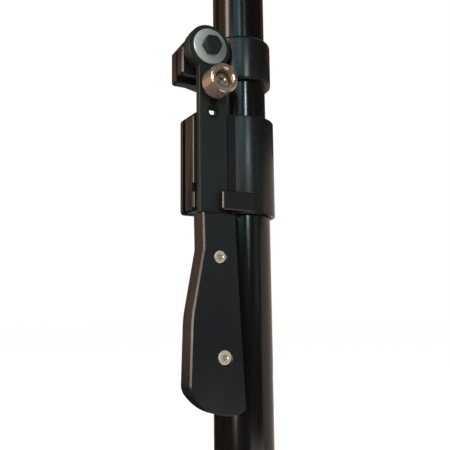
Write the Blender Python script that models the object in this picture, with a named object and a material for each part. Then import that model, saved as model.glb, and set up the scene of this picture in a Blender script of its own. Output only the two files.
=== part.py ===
"""Telescoping pole joint: two tubes, two collars, and a locking lever that hangs on the upper clamp.

The pole's axis is world Z and the foot's lower face is z = 0. The lever hangs beside the pole
towards -X, and its broad face looks towards -Y. Every size below is in millimetres.
"""
import math

import bmesh
import bpy
from mathutils import Matrix, Vector

MM = 0.001
GAP = 0.3                   # between faces of neighbouring pieces
STACK_GAP = 0.25            # between the pieces stacked on the pivot bolt

# Pole
OUTER_R = 19.0
INNER_R = 17.3
SLIDE_R = INNER_R + GAP     # bore that the inner tube runs in
INNER_WALL = 1.3
JOINT_Z = 280.0             # height of the lower collar's bottom face
INNER_BOTTOM_Z = 145.0
INNER_TOP_Z = 612.0
FOOT_R = 21.0
FOOT_FLOOR = 6.0
FOOT_HEIGHT = 24.0
BUSH_R = 11.0               # bore of the slide bush
CAP_HEIGHT = 4.0
CAP_DEPTH = 14.0
STUD_R = 4.7
STUD_HEIGHT = 17.0
RING_R = 11.0
RING_BORE_R = 5.1

# Collars, heights measured from the lower collar's bottom face
LOWER_R = 22.3
LOWER_TOP = 63.6
UPPER_R = 21.1
UPPER_BOTTOM = 89.0
UPPER_TOP = 118.6
OUTER_TUBE_TOP = 53.0
UPPER_SLIT = (-1.0, 1.0)
LOWER_SLIT = (-1.3, 2.3)
LOWER_EAR_X = -41.0
LOWER_EAR_FRONT = -12.6
LOWER_EAR_BACK = 6.5
EAR_ROOT_X = -8.0           # inside the barrel
LAND_X = (-26.0, -13.2)
LAND_FRONT = -17.7          # flat beside the lever, flush with the lever's face
POCKET_X = -19.3
CATCH_X = -26.0
CATCH_END_X = -2.4
CATCH_FRONT = -22.9
CATCH_BACK = -18.2
CATCH_BOTTOM = 0.8
CATCH_TOP = 12.8
CATCH_ROOT_Y = -14.0
NOTCH = (3.0, 12.9)         # from and to this height in the lower ears' edge
NOTCH_EDGE = ((-41.0, -7.6), (-39.2, -10.8), (-35.0, -10.8))
RECESS = ((-50.0, -20.0, 1.4), (-35.5, -11.0, 18.0))
CLAMP_SCREW_X = -32.0
CLAMP_SCREW_Z = (20.0, 49.0)
CLAMP_BORE_R = 2.3
CLAMP_HEAD_R = 4.2
CLAMP_HEAD_DEPTH = 2.4
UPPER_EAR_X = -46.3
UPPER_EAR_FRONT = -8.3
UPPER_EAR_BACK = 8.0
SHOULDER = (-37.7, 107.2)   # where the ears' sloping edge starts (x) and ends (z)
BACK_EAR_DROP = 2.8         # the back ear reaches this far below the barrel
BACK_EAR_END_X = -22.0
FLARE = ((-37.0, 8.0), (-9.5, 18.0))    # back ear's far face runs out to the barrel
NUT_SEAT = 7.8
NUT_SEAT_R = 9.3

# Lever and its pivot
PIVOT_X = -31.7
PIVOT_Z = 105.6
LEVER_FRONT = -17.8
LEVER_BACK = -13.0
HEAD_R = 13.8
BAR_LEFT = -39.0
BAR_RIGHT = -19.7
BOLT_R = 3.2
WASHER_R = 11.6
WASHER_THICKNESS = 1.3
NUT_WASHER_R = 8.0
NUT_WASHER_THICKNESS = 1.6
LOCK_NUT_HEIGHT = 5.6
HEX_ACROSS_FLATS = 11.1
HEX_HEIGHT = 4.2
HEX_TURN = 5.0              # degrees
SPACER_R = 14.2

# Keyhole slot and knob
KNOB_X = -29.3
KNOB_Z = 80.4
KNOB_TRAVEL = 17.0          # down to the keyhole
KEYHOLE_Z = KNOB_Z - KNOB_TRAVEL
KEYHOLE_R = 3.6
KEYHOLE_MOUTH_R = 4.5
SLOT_HALF = 2.8
GROOVE_HALF = 5.0
GROOVE_DEPTH = 2.2
NUT_TOP = 5.5               # slide nut, above and below the knob
NUT_BOTTOM = 15.0
KNOB_R = 9.4
KNOB_BORE_R = 5.8
KNOB_FRONT = -33.2
KNOB_BACK = -20.2
KNOB_SEAT = KNOB_FRONT + 8.2
KNOB_SHANK_R = 2.5
KNOB_WASHER_R = 7.6

# Handle
GRIP_FRONT = -22.5
GRIP_SPLIT = -12.9
GRIP_BACK = -9.2
GRIP_TOP = -1.3
GRIP_BOTTOM = -121.2
TANG_LEFT = -36.5
TANG_RIGHT = -21.5
TANG_BOTTOM = -104.0
GRIP_CLEARANCE_R = OUTER_R + 1.0
GRIP_SCREWS = ((-28.0, -28.3), (-25.4, -87.6))
GRIP_SCREW_HEADS = (3.8, 4.3)
GRIP_BORE_R = 2.8
GRIP_SCREW_R = 2.5
SLEEVE_R = 3.8
SCREW_HEAD_HEIGHT = 3.0

SEGMENTS = 48               # sides of a large round piece
SMALL_SEGMENTS = 24

COLOURS = {
    "anodised": ((0.012, 0.012, 0.014), 0.28, 0.8),
    "satin_black": ((0.02, 0.021, 0.024), 0.42, 0.6),
    "zinc": ((0.62, 0.61, 0.58), 0.35, 1.0),
    "stainless": ((0.66, 0.6, 0.56), 0.22, 1.0),
    "dark_steel": ((0.12, 0.12, 0.13), 0.4, 1.0),
    "grip": ((0.025, 0.026, 0.03), 0.45, 0.0),
    "rubber": ((0.015, 0.015, 0.015), 0.85, 0.0),
    "nylon": ((0.05, 0.05, 0.055), 0.6, 0.0),
    "aluminium": ((0.5, 0.5, 0.52), 0.35, 1.0),
}


def clear_scene():
    """Remove whatever the file holds."""
    for obj in list(bpy.data.objects):
        bpy.data.objects.remove(obj, do_unlink=True)


def material(name, colour):
    """Return a Principled material of one of the named looks."""
    base, roughness, metallic = COLOURS[colour]
    made = bpy.data.materials.new(name)
    made.use_nodes = True
    shader = made.node_tree.nodes["Principled BSDF"]
    shader.inputs["Base Color"].default_value = (*base, 1.0)
    shader.inputs["Roughness"].default_value = roughness
    shader.inputs["Metallic"].default_value = metallic
    return made


def add_object(name, mesh_data, colour=None):
    """Turn a bmesh into an object, shaded smooth with sharp creases."""
    bmesh.ops.remove_doubles(mesh_data, verts=mesh_data.verts, dist=1e-6)
    bmesh.ops.recalc_face_normals(mesh_data, faces=mesh_data.faces)
    mesh = bpy.data.meshes.new(name)
    mesh_data.to_mesh(mesh)
    mesh_data.free()
    mesh.shade_smooth()
    mesh.set_sharp_from_angle(angle=math.radians(35))
    obj = bpy.data.objects.new(name, mesh)
    bpy.context.scene.collection.objects.link(obj)
    if colour:
        mesh.materials.append(material(name, colour))
    return obj


def turned(name, profile, colour=None, segments=SEGMENTS, centre=(0.0, 0.0), axis="Z"):
    """Spin an (r, height) outline about an axis.

    Along Z, heights are above the lower collar's bottom face and centre is (x, y). Along Y,
    heights are y values and centre is (x, z). An outline that starts and ends at r = 0 is solid;
    any other outline is closed into a ring.
    """
    mesh_data = bmesh.new()
    points = [mesh_data.verts.new((r * MM, 0.0, h * MM)) for r, h in profile]
    solid = profile[0][0] == 0 and profile[-1][0] == 0
    pairs = list(zip(points, points[1:]))
    if not solid:
        pairs.append((points[-1], points[0]))
    edges = [mesh_data.edges.new(pair) for pair in pairs]
    bmesh.ops.spin(mesh_data, geom=points + edges, cent=(0, 0, 0), axis=(0, 0, 1),
                   angle=2 * math.pi, steps=segments, use_merge=True)
    if axis == "Y":
        turn = Matrix.Rotation(-math.pi / 2, 4, "X")
        place = Matrix.Translation((centre[0] * MM, 0.0, (JOINT_Z + centre[1]) * MM))
    else:
        turn = Matrix.Identity(4)
        place = Matrix.Translation((centre[0] * MM, centre[1] * MM, JOINT_Z * MM))
    bmesh.ops.transform(mesh_data, matrix=place @ turn, verts=mesh_data.verts)
    return add_object(name, mesh_data, colour)


def plate(name, outline, front, back, colour=None):
    """Extrude an (x, z) outline from y = front to y = back."""
    mesh_data = bmesh.new()
    corners = [mesh_data.verts.new((x * MM, front * MM, (JOINT_Z + z) * MM)) for x, z in outline]
    face = mesh_data.faces.new(corners)
    grown = bmesh.ops.extrude_face_region(mesh_data, geom=[face])
    moved = [item for item in grown["geom"] if isinstance(item, bmesh.types.BMVert)]
    bmesh.ops.translate(mesh_data, verts=moved, vec=(0, (back - front) * MM, 0))
    return add_object(name, mesh_data, colour)


def box(name, low, high, colour=None):
    """Make a block from its lowest and highest corners."""
    outline = ((low[0], low[2]), (high[0], low[2]), (high[0], high[2]), (low[0], high[2]))
    return plate(name, outline, low[1], high[1], colour)


def slab(name, outline, low, high, colour=None):
    """Extrude an (x, y) outline from z = low to z = high."""
    mesh_data = bmesh.new()
    corners = [mesh_data.verts.new((x * MM, y * MM, (JOINT_Z + low) * MM)) for x, y in outline]
    face = mesh_data.faces.new(corners)
    grown = bmesh.ops.extrude_face_region(mesh_data, geom=[face])
    moved = [item for item in grown["geom"] if isinstance(item, bmesh.types.BMVert)]
    bmesh.ops.translate(mesh_data, verts=moved, vec=(0, 0, (high - low) * MM))
    return add_object(name, mesh_data, colour)


def arc(centre, radius, start, end, steps):
    """Points on an arc from start to end degrees, both ends included."""
    points = []
    for i in range(steps + 1):
        angle = math.radians(start + (end - start) * i / steps)
        points.append((centre[0] + radius * math.cos(angle), centre[1] + radius * math.sin(angle)))
    return points


def rounded(corners, steps=4):
    """Round each (x, z, radius) corner of a closed outline with an arc."""
    points = []
    for i, (x, z, radius) in enumerate(corners):
        here = Vector((x, z))
        before = Vector(corners[i - 1][:2]) - here
        after = Vector(corners[(i + 1) % len(corners)][:2]) - here
        if radius <= 0:
            points.append((x, z))
            continue
        half = before.angle(after) / 2
        reach = radius / math.tan(half)
        middle = here + (before.normalized() + after.normalized()).normalized() * radius / math.sin(half)
        first = here + before.normalized() * reach - middle
        last = here + after.normalized() * reach - middle
        sweep = first.angle_signed(last)
        for step in range(steps + 1):
            turn = Matrix.Rotation(-sweep * step / steps, 2)
            points.append(tuple(middle + turn @ first))
    return points


def combine(obj, tool, operation="DIFFERENCE"):
    """Cut a hidden tool out of an object, or add it on."""
    step = obj.modifiers.new(tool.name, "BOOLEAN")
    step.operation = operation
    step.solver = "EXACT"
    step.object = tool
    tool.hide_render = True
    tool.display_type = "WIRE"
    return obj


def drill(obj, radius, centre, front, back, segments=SMALL_SEGMENTS):
    """Drill along Y at (x, z) between two y values."""
    profile = ((0, front), (radius, front), (radius, back), (0, back))
    name = "cut_{}_{}".format(obj.name, len(obj.modifiers))
    return combine(obj, turned(name, profile, segments=segments, centre=centre, axis="Y"))


def counterbore(obj, centre, through, head):
    """Drill a stepped hole along Y: through and head are (radius, y) of its far and near ends.

    The head's third value is the y of the step between the two radii.
    """
    profile = ((0, through[1]), (through[0], through[1]), (through[0], head[2]),
               (head[0], head[2]), (head[0], head[1]), (0, head[1]))
    name = "cut_{}_{}".format(obj.name, len(obj.modifiers))
    return combine(obj, turned(name, profile, segments=SMALL_SEGMENTS, centre=centre, axis="Y"))


def shifted(profile, height):
    """Move an (r, height) outline along its axis."""
    return [(r, h + height) for r, h in profile]


def make_pole():
    """The outer tube with its rubber foot, and the inner tube with its bush."""
    floor = FOOT_FLOOR + GAP - JOINT_Z
    turned("outer_tube", ((SLIDE_R, floor), (OUTER_R, floor), (OUTER_R, OUTER_TUBE_TOP),
                          (SLIDE_R, OUTER_TUBE_TOP)), "anodised")
    cup = ((0, 0), (FOOT_R - 1.5, 0), (FOOT_R, 1.5), (FOOT_R, FOOT_HEIGHT - 1.0),
           (FOOT_R - 1.0, FOOT_HEIGHT), (OUTER_R + GAP, FOOT_HEIGHT), (OUTER_R + GAP, FOOT_FLOOR),
           (0, FOOT_FLOOR))
    turned("rubber_foot", shifted(cup, -JOINT_Z), "rubber")
    bottom = INNER_BOTTOM_Z - JOINT_Z
    top = INNER_TOP_Z - JOINT_Z
    bore = INNER_R - INNER_WALL
    turned("inner_tube", ((bore, bottom), (INNER_R, bottom), (INNER_R, top), (bore, top)),
           "anodised")
    bush = ((BUSH_R, -6.0), (INNER_R, -6.0), (INNER_R, -GAP), (bore - GAP, -GAP),
            (bore - GAP, 12.0), (BUSH_R, 12.0))
    turned("slide_bush", shifted(bush, bottom), "nylon")


def make_top_fitting():
    """The cap, threaded stud and lock ring at the pole's upper end."""
    top = INNER_TOP_Z - JOINT_Z
    bore = INNER_R - INNER_WALL
    neck = STUD_R - 1.0
    socket = neck + GAP
    cap = ((0, -CAP_DEPTH), (bore - GAP, -CAP_DEPTH), (bore - GAP, GAP), (INNER_R, GAP),
           (INNER_R, CAP_HEIGHT - 1.0), (INNER_R - 1.0, CAP_HEIGHT), (socket, CAP_HEIGHT),
           (socket, 0.0), (0, 0.0))
    turned("top_cap", shifted(cap, top), "satin_black")
    stud = ((0, GAP), (neck, GAP), (neck, CAP_HEIGHT + 1.0), (STUD_R, CAP_HEIGHT + 2.0),
            (STUD_R, STUD_HEIGHT - 0.8), (STUD_R - 0.7, STUD_HEIGHT), (0, STUD_HEIGHT))
    turned("mic_stud", shifted(stud, top), "stainless", SMALL_SEGMENTS)
    low = CAP_HEIGHT + GAP
    high = low + 3.4
    edge = 0.4
    ring = ((RING_BORE_R, low), (RING_R - edge, low), (RING_R, low + edge), (RING_R, high - edge),
            (RING_R - edge, high), (RING_BORE_R, high))
    turned("stud_lock_ring", shifted(ring, top), "aluminium")


def make_lower_collar():
    """The fixed collar: barrel, split ears, lever pocket and the catch that holds the lever."""
    edge = 0.8
    low = 0.2
    high = LOWER_TOP - 0.2
    beyond = LOWER_TOP + 6.0
    barrel = ((0, 0), (LOWER_R - edge, 0), (LOWER_R, edge), (LOWER_R, LOWER_TOP - edge),
              (LOWER_R - edge, LOWER_TOP), (0, LOWER_TOP))
    collar = turned("lower_collar", barrel, "satin_black")
    ears = rounded(((EAR_ROOT_X, low, 0), (EAR_ROOT_X, high, 0), (LOWER_EAR_X, high, 3.5),
                    (LOWER_EAR_X, low, 2.5)))
    combine(collar, plate("add_lower_ears", ears, LOWER_EAR_FRONT, LOWER_EAR_BACK), "UNION")
    combine(collar, box("add_land", (LAND_X[0], LAND_FRONT, low), (LAND_X[1], -10.0, high)), "UNION")
    combine(collar, box("cut_pocket", (-30.0, -30.0, -5.0), (POCKET_X, LOWER_EAR_FRONT, beyond)))
    catch = rounded(((CATCH_X, CATCH_BOTTOM, 0.6), (CATCH_END_X, CATCH_BOTTOM, 0),
                     (CATCH_END_X, CATCH_TOP, 0), (CATCH_X, CATCH_TOP, 0.6)), 2)
    combine(collar, plate("add_catch", catch, CATCH_FRONT, CATCH_BACK), "UNION")
    combine(collar, box("add_catch_root", (POCKET_X + GAP, CATCH_FRONT + 0.4, CATCH_BOTTOM + 0.1),
                        (CATCH_END_X - 0.1, CATCH_ROOT_Y, CATCH_TOP - 0.1)), "UNION")
    bore = ((0, -5.0), (OUTER_R + GAP, -5.0), (OUTER_R + GAP, beyond), (0, beyond))
    combine(collar, turned("cut_lower_bore", bore))
    combine(collar, box("cut_lower_slit", (-50.0, LOWER_SLIT[0], -5.0),
                        (-10.0, LOWER_SLIT[1], beyond)))
    outside = ((NOTCH_EDGE[-1][0], -20.0), (-50.0, -20.0), (-50.0, NOTCH_EDGE[0][1]))
    combine(collar, slab("cut_ear_notch", outside + NOTCH_EDGE, NOTCH[0], NOTCH[1]))
    combine(collar, box("cut_ear_recess", RECESS[0], RECESS[1]))
    for z in CLAMP_SCREW_Z:
        counterbore(collar, (CLAMP_SCREW_X, z), (CLAMP_BORE_R, LOWER_EAR_FRONT - 1.0),
                    (CLAMP_HEAD_R + 0.4, LOWER_EAR_BACK + 1.0, LOWER_EAR_BACK - CLAMP_HEAD_DEPTH))
    seat = ((SLIDE_R, OUTER_TUBE_TOP + GAP), (OUTER_R, OUTER_TUBE_TOP + GAP),
            (OUTER_R, LOWER_TOP - 0.6), (SLIDE_R, LOWER_TOP - 0.6))
    turned("guide_bush", seat, "nylon")


def cap_screw(name, centre, tip, head_start, head_height, head_r, shank_r, socket_r, colour):
    """A socket-head screw along Y, its head from y = head_start, its shank ending at y = tip.

    The head lies on the far side of head_start from the tip, and its hexagonal socket opens there.
    """
    away = 1.0 if head_start > tip else -1.0
    face = head_start + away * head_height
    depth = 0.55 * head_height
    profile = ((0, tip), (shank_r, tip), (shank_r, head_start), (head_r, head_start),
               (head_r, face - away * 0.4), (head_r - 0.4, face), (0, face))
    screw = turned(name, profile, colour, SMALL_SEGMENTS, centre, "Y")
    drill(screw, socket_r, centre, face - away * depth, face + away, 6)
    return screw


def make_clamp_screws():
    """Two screws, entered from the back, that pinch the lower ears."""
    for number, z in enumerate(CLAMP_SCREW_Z, 1):
        cap_screw("lower_clamp_screw_{}".format(number), (CLAMP_SCREW_X, z), LOWER_EAR_FRONT + 0.6,
                  LOWER_EAR_BACK - CLAMP_HEAD_DEPTH + GAP, 4.0, CLAMP_HEAD_R, CLAMP_BORE_R - GAP,
                  2.0, "dark_steel")


def make_upper_collar():
    """The split clamp on the inner tube that carries the lever's pivot."""
    barrel = [(0, UPPER_BOTTOM), (UPPER_R - 1.0, UPPER_BOTTOM), (UPPER_R, UPPER_BOTTOM + 1.0)]
    barrel += arc((UPPER_R - 2.4, UPPER_TOP - 2.4), 2.4, 0, 90, 4)
    barrel += [(0, UPPER_TOP)]
    collar = turned("upper_collar", barrel, "satin_black")
    low = UPPER_BOTTOM + 0.2
    high = UPPER_TOP - 0.3
    drop = UPPER_BOTTOM - BACK_EAR_DROP
    edge = [(EAR_ROOT_X, high, 0), (SHOULDER[0], high, 1.0), (UPPER_EAR_X, SHOULDER[1], 1.0)]
    front = rounded([(EAR_ROOT_X, low, 0)] + edge + [(UPPER_EAR_X, low, 1.0)], 3)
    combine(collar, plate("add_front_ear", front, UPPER_EAR_FRONT, 0.5), "UNION")
    back = rounded([(EAR_ROOT_X, low, 0)] + edge + [(UPPER_EAR_X, drop, 1.0),
                                                    (BACK_EAR_END_X, drop, 0),
                                                    (BACK_EAR_END_X, low, 0)], 3)
    far = FLARE[1][1]
    ear = plate("add_back_ear", back, 0.0, far + 2.0)
    inside = EAR_ROOT_X + 1.0
    plan = ((inside, far), (inside, -1.0), (-60.0, -1.0), (-60.0, UPPER_EAR_BACK)) + FLARE
    combine(ear, slab("trim_back_ear", plan, drop - 5.0, UPPER_TOP + 5.0), "INTERSECT")
    combine(collar, ear, "UNION")
    bore = ((0, drop - 5.0), (SLIDE_R, drop - 5.0), (SLIDE_R, UPPER_TOP + 5.0), (0, UPPER_TOP + 5.0))
    combine(collar, turned("cut_upper_bore", bore))
    combine(collar, box("cut_upper_slit", (-60.0, UPPER_SLIT[0], drop - 5.0),
                        (-10.0, UPPER_SLIT[1], UPPER_TOP + 5.0)))
    bolt_hole = BOLT_R + GAP
    seats = ((0, 25.0), (NUT_SEAT_R, 25.0), (NUT_SEAT_R, NUT_SEAT), (bolt_hole, NUT_SEAT),
             (bolt_hole, UPPER_EAR_FRONT), (SPACER_R + GAP, UPPER_EAR_FRONT),
             (SPACER_R + GAP, -25.0), (0, -25.0))
    combine(collar, turned("cut_pivot_seats", seats, centre=(PIVOT_X, PIVOT_Z), axis="Y"))


def hexagon(name, centre, flats, front, back, colour, edge=0.6):
    """A hexagonal prism along Y with its corners turned off in front."""
    corner_r = flats / math.sqrt(3)
    points = arc(centre, corner_r, HEX_TURN, HEX_TURN + 300, 5)
    prism = plate(name, points, front, back, colour)
    profile = ((0, front), (corner_r - edge * 1.6, front), (corner_r + 0.4, front + edge),
               (corner_r + 0.4, back + 1.0), (0, back + 1.0))
    trim = turned("trim_" + name, profile, segments=SMALL_SEGMENTS, centre=centre, axis="Y")
    combine(prism, trim, "INTERSECT")
    return prism


def make_pivot():
    """Bolt, washers, spacer and nut on the lever's axis."""
    centre = (PIVOT_X, PIVOT_Z)
    washer_back = LEVER_FRONT - STACK_GAP
    washer_front = washer_back - WASHER_THICKNESS
    head_back = washer_front - STACK_GAP
    head_front = head_back - HEX_HEIGHT
    nut_washer = NUT_SEAT + STACK_GAP
    nut_front = nut_washer + NUT_WASHER_THICKNESS + STACK_GAP
    nut_back = nut_front + LOCK_NUT_HEIGHT
    bolt = hexagon("pivot_bolt", centre, HEX_ACROSS_FLATS, head_front, head_back, "dark_steel")
    shank = ((0, head_back - 1.0), (BOLT_R, head_back - 1.0), (BOLT_R, nut_back + 1.2),
             (BOLT_R - 0.7, nut_back + 2.0), (0, nut_back + 2.0))
    combine(bolt, turned("add_shank", shank, segments=SMALL_SEGMENTS, centre=centre, axis="Y"),
            "UNION")
    bore = BOLT_R + GAP
    front = ((bore, washer_front), (WASHER_R - 0.3, washer_front), (WASHER_R, washer_front + 0.3),
             (WASHER_R, washer_back), (bore, washer_back))
    turned("front_washer", front, "zinc", SEGMENTS, centre, "Y")
    top = nut_washer + NUT_WASHER_THICKNESS
    back = ((bore, nut_washer), (NUT_WASHER_R, nut_washer), (NUT_WASHER_R, top), (bore, top))
    turned("back_washer", back, "zinc", 32, centre, "Y")
    spacer_front = LEVER_BACK + STACK_GAP
    spacer_back = UPPER_EAR_FRONT - STACK_GAP
    boss = ((bore, spacer_front), (SPACER_R, spacer_front), (SPACER_R, spacer_back),
            (bore, spacer_back))
    turned("pivot_spacer", boss, "satin_black", SEGMENTS, centre, "Y")
    nut = hexagon("lock_nut", centre, HEX_ACROSS_FLATS, nut_front, nut_back, "zinc")
    drill(nut, bore, centre, nut_front - 1.0, nut_back + 1.0)


def make_lever_bar():
    """The flat lever: round head, bar with the keyhole slot, and the tang inside the handle."""
    head = (PIVOT_X, PIVOT_Z)
    right = math.degrees(math.acos((BAR_RIGHT - PIVOT_X) / HEAD_R))
    left = math.degrees(math.acos((BAR_LEFT - PIVOT_X) / HEAD_R))
    shoulder = GRIP_TOP + 0.5
    outline = arc(head, HEAD_R, -right, 360.0 - left, 28)
    outline += [(BAR_LEFT, shoulder), (TANG_LEFT, shoulder), (TANG_LEFT, TANG_BOTTOM),
                (TANG_RIGHT, TANG_BOTTOM), (TANG_RIGHT, shoulder), (BAR_RIGHT, shoulder)]
    lever = plate("lever_bar", outline, LEVER_FRONT, LEVER_BACK, "satin_black")
    drill(lever, BOLT_R + GAP, head, LEVER_FRONT - 1.0, LEVER_BACK + 1.0)
    top = KNOB_Z + SLOT_HALF
    slot = [(KNOB_X - SLOT_HALF, KEYHOLE_Z), (KNOB_X + SLOT_HALF, KEYHOLE_Z)]
    slot += arc((KNOB_X, top), SLOT_HALF, 0, 180, 8)
    combine(lever, plate("cut_slot", slot, LEVER_FRONT - 1.0, LEVER_BACK + 1.0))
    flare = KEYHOLE_MOUTH_R - KEYHOLE_R
    mouth = ((0, LEVER_FRONT - 1.0), (KEYHOLE_MOUTH_R + 1.0, LEVER_FRONT - 1.0),
             (KEYHOLE_R, LEVER_FRONT + flare), (KEYHOLE_R, LEVER_BACK + 1.0), (0, LEVER_BACK + 1.0))
    combine(lever, turned("cut_keyhole", mouth, segments=SMALL_SEGMENTS, centre=(KNOB_X, KEYHOLE_Z),
                          axis="Y"))
    groove_bottom = KEYHOLE_Z - NUT_BOTTOM - 0.6
    combine(lever, box("cut_groove", (KNOB_X - GROOVE_HALF, LEVER_BACK - GROOVE_DEPTH, groove_bottom),
                       (KNOB_X + GROOVE_HALF, LEVER_BACK + 1.0, KNOB_Z + NUT_TOP + 1.7)))
    for centre in GRIP_SCREWS:
        drill(lever, GRIP_BORE_R, centre, LEVER_FRONT - 1.0, LEVER_BACK + 1.0)


def grip_outline():
    """The handle's outline: narrow at the top, widest near its rounded lower end."""
    return rounded((
        (-39.4, GRIP_TOP, 0.8),
        (-39.0, -23.5, 10.0),
        (-46.8, -64.0, 70.0),
        (-48.3, -106.5, 10.0),
        (-34.9, GRIP_BOTTOM, 30.0),
        (-18.0, GRIP_BOTTOM, 12.0),
        (-10.8, -118.9, 3.4),
        (-13.9, -65.8, 90.0),
        (-16.9, GRIP_TOP, 0.8),
    ))


def make_handle():
    """Two grip halves round the tang, held by two screws and their sleeve nuts."""
    front = plate("grip_front", grip_outline(), GRIP_FRONT, GRIP_SPLIT - STACK_GAP, "grip")
    back = plate("grip_back", grip_outline(), GRIP_SPLIT, GRIP_BACK, "grip")
    relief = ((0, -160.0), (GRIP_CLEARANCE_R, -160.0), (GRIP_CLEARANCE_R, 20.0), (0, 20.0))
    for half in (front, back):
        combine(half, turned("cut_relief_" + half.name, relief))
    groove = box("cut_tang", (TANG_LEFT - GAP, LEVER_FRONT - GAP, TANG_BOTTOM - GAP),
                 (TANG_RIGHT + GAP, 0.0, 10.0))
    combine(front, groove)
    for number, (centre, head_r) in enumerate(zip(GRIP_SCREWS, GRIP_SCREW_HEADS), 1):
        step = GRIP_FRONT + SCREW_HEAD_HEIGHT
        counterbore(front, centre, (GRIP_BORE_R, 0.0), (head_r + GAP, GRIP_FRONT - 1.0, step + 0.1))
        drill(back, SLEEVE_R + GAP, centre, -20.0, 0.0)
        cap_screw("grip_screw_{}".format(number), centre, GRIP_BACK - 0.7, step - 0.2,
                  SCREW_HEAD_HEIGHT, head_r, GRIP_SCREW_R, 2.3, "stainless")
        sleeve = ((GRIP_BORE_R, GRIP_SPLIT + 0.2), (SLEEVE_R, GRIP_SPLIT + 0.2),
                  (SLEEVE_R, GRIP_BACK - 0.1), (GRIP_BORE_R, GRIP_BACK - 0.1))
        turned("grip_nut_{}".format(number), sleeve, "stainless", SMALL_SEGMENTS, centre, "Y")


def make_knob():
    """The steel knob on the keyhole slot, its screw and washer, and the nut behind the lever."""
    centre = (KNOB_X, KNOB_Z)
    passage = KNOB_SHANK_R + GAP
    edge = 1.3
    sleeve = ((passage, KNOB_BACK), (KNOB_R, KNOB_BACK), (KNOB_R, KNOB_FRONT + edge),
              (KNOB_R - edge, KNOB_FRONT), (KNOB_BORE_R + 0.7, KNOB_FRONT),
              (KNOB_BORE_R, KNOB_FRONT + 0.7), (KNOB_BORE_R, KNOB_SEAT), (passage, KNOB_SEAT))
    turned("knob_sleeve", sleeve, "stainless", SEGMENTS, centre, "Y")
    washer_front = KNOB_BACK + STACK_GAP
    washer_back = LEVER_FRONT - STACK_GAP
    washer = ((passage, washer_front), (KNOB_WASHER_R, washer_front), (KNOB_WASHER_R, washer_back),
              (passage, washer_back))
    turned("knob_washer", washer, "nylon", 32, centre, "Y")
    cap_screw("knob_screw", centre, LEVER_BACK - GAP, KNOB_SEAT - GAP, 4.0, 3.8, KNOB_SHANK_R, 2.0,
              "stainless")
    nut_half = GROOVE_HALF - GAP
    nut = box("slide_nut", (KNOB_X - nut_half, LEVER_BACK - GROOVE_DEPTH + GAP, KNOB_Z - NUT_BOTTOM),
              (KNOB_X + nut_half, LEVER_BACK - GAP, KNOB_Z + NUT_TOP), "dark_steel")
    drill(nut, passage, centre, -20.0, 0.0)


def gather(name, location, members):
    """Parent pieces to an empty on their joint's axis, leaving them where they are."""
    holder = bpy.data.objects.new(name, None)
    holder.location = [value * MM for value in location]
    bpy.context.scene.collection.objects.link(holder)
    back = Matrix.Translation(holder.location).inverted()
    for member in members:
        obj = bpy.data.objects[member]
        obj.parent = holder
        obj.matrix_parent_inverse = back


def gather_bodies():
    """One empty for each moving body."""
    pivot = (PIVOT_X, LEVER_BACK, JOINT_Z + PIVOT_Z)
    gather("lever_pivot", pivot, ("lever_bar", "grip_front", "grip_back", "grip_screw_1",
                                  "grip_screw_2", "grip_nut_1", "grip_nut_2"))
    gather("knob_axis", (KNOB_X, LEVER_FRONT, JOINT_Z + KNOB_Z),
           ("knob_sleeve", "knob_washer", "knob_screw", "slide_nut"))
    gather("clamp_axis", (0.0, 0.0, JOINT_Z + UPPER_BOTTOM),
           ("upper_collar", "pivot_bolt", "front_washer", "back_washer", "pivot_spacer", "lock_nut"))
    gather("inner_axis", (0.0, 0.0, INNER_BOTTOM_Z),
           ("inner_tube", "slide_bush", "top_cap", "mic_stud", "stud_lock_ring"))


def main():
    """Build every piece."""
    clear_scene()
    make_pole()
    make_top_fitting()
    make_lower_collar()
    make_clamp_screws()
    make_upper_collar()
    make_pivot()
    make_lever_bar()
    make_handle()
    make_knob()
    gather_bodies()


main()
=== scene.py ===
"""Looks of the telescoping pole joint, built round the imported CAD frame."""
import math

import bmesh
import bpy
from mathutils import Matrix, Vector


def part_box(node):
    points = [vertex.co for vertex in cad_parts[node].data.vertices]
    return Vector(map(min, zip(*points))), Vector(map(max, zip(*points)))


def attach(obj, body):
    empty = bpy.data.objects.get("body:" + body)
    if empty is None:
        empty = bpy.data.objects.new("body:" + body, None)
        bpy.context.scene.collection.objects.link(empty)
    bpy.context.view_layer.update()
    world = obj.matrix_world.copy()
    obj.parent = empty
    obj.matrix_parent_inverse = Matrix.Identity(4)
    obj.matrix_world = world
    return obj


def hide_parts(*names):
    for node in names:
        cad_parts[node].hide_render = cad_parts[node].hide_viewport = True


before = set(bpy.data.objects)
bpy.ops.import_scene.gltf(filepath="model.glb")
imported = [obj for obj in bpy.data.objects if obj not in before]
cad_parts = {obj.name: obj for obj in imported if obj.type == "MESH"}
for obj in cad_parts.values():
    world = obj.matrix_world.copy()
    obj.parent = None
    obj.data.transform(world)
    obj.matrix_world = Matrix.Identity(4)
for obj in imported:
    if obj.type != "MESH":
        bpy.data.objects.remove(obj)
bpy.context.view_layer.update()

MM = 0.001
LARGE = 144                 # sides of a large round piece
SMALL = 64                  # sides of a screw, a hole or other small piece


def span(node):
    """Lowest and highest corner of a CAD node, in millimetres."""
    low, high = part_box(node)
    return low / MM, high / MM


def middle(node):
    """Centre of a CAD node's box seen along Y, as (x, z) in millimetres."""
    low, high = span(node)
    return (low.x + high.x) / 2, (low.z + high.z) / 2


def half_width(node):
    """Half of a CAD node's width, in millimetres: the radius of one that is turned about Y."""
    low, high = span(node)
    return (high.x - low.x) / 2


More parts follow.
